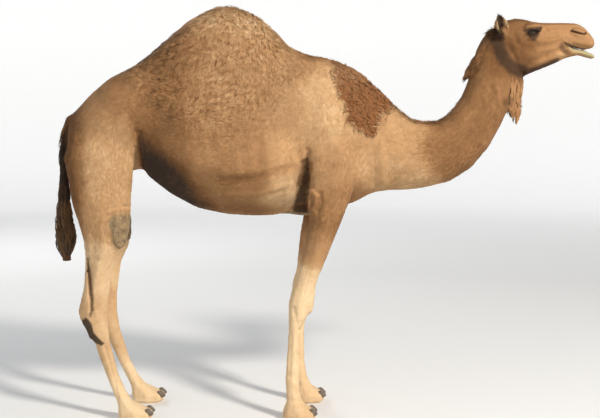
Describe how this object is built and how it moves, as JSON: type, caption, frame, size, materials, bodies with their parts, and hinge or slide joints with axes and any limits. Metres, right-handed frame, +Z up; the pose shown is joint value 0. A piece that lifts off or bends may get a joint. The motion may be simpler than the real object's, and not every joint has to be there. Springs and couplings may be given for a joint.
{
  "type": "dromedary camel",
  "caption": "Standing dromedary, life size: one high hump, low curved neck, level head with parted lips, slim pale legs on broad pads, hanging tail",
  "frame": {"origin": "on the floor under the middle of the whole length, in the animal's middle plane", "axes": "+X is the way the animal faces, +Y its left, +Z up"},
  "size_m": [2.83, 0.6278, 2.15],
  "materials": {
    "coat": "short dense tan hair over the body, matt",
    "leg_coat": "very short cream hair on the legs, matt",
    "wool": "short curly brown wool",
    "hair": "long dark brown hair with a slight sheen",
    "callus": "dry wrinkled bare skin",
    "nail": "horn, faintly ridged, semi-matt",
    "eye": "wet dark brown, glossy"
  },
  "bodies": {
    "root": {"beard": "coat", "chest_pad": "callus", "ear_left": "coat", "ear_right": "coat", "elbow_pad_left": "callus", "elbow_pad_right": "callus", "eye_left": "eye", "eye_right": "eye", "fore_left_cannon": "leg_coat", "fore_left_foot": "leg_coat", "fore_left_forearm": "leg_coat", "fore_left_nail_inner": "nail", "fore_left_nail_outer": "nail", "fore_right_cannon": "leg_coat", "fore_right_foot": "leg_coat", "fore_right_forearm": "leg_coat", "fore_right_nail_inner": "nail", "fore_right_nail_outer": "nail", "head": "coat", "hind_left_cannon": "leg_coat", "hind_left_foot": "leg_coat", "hind_left_gaskin": "leg_coat", "hind_left_nail_inner": "nail", "hind_left_nail_outer": "nail", "hind_left_thigh": "coat", "hind_right_cannon": "leg_coat", "hind_right_foot": "leg_coat", "hind_right_gaskin": "leg_coat", "hind_right_nail_inner": "nail", "hind_right_nail_outer": "nail", "hind_right_thigh": "coat", "hock_pad_left": "callus", "hock_pad_right": "callus", "hump": "wool", "knee_pad_left": "callus", "knee_pad_right": "callus", "lower_jaw": "coat", "nape_mane": "wool", "neck_base": "coat", "neck_middle": "coat", "neck_top": "coat", "stifle_pad_left": "callus", "stifle_pad_right": "callus", "tail_dock": "coat", "tail_tuft": "hair", "trunk": "coat"}
  },
  "joints": []
}
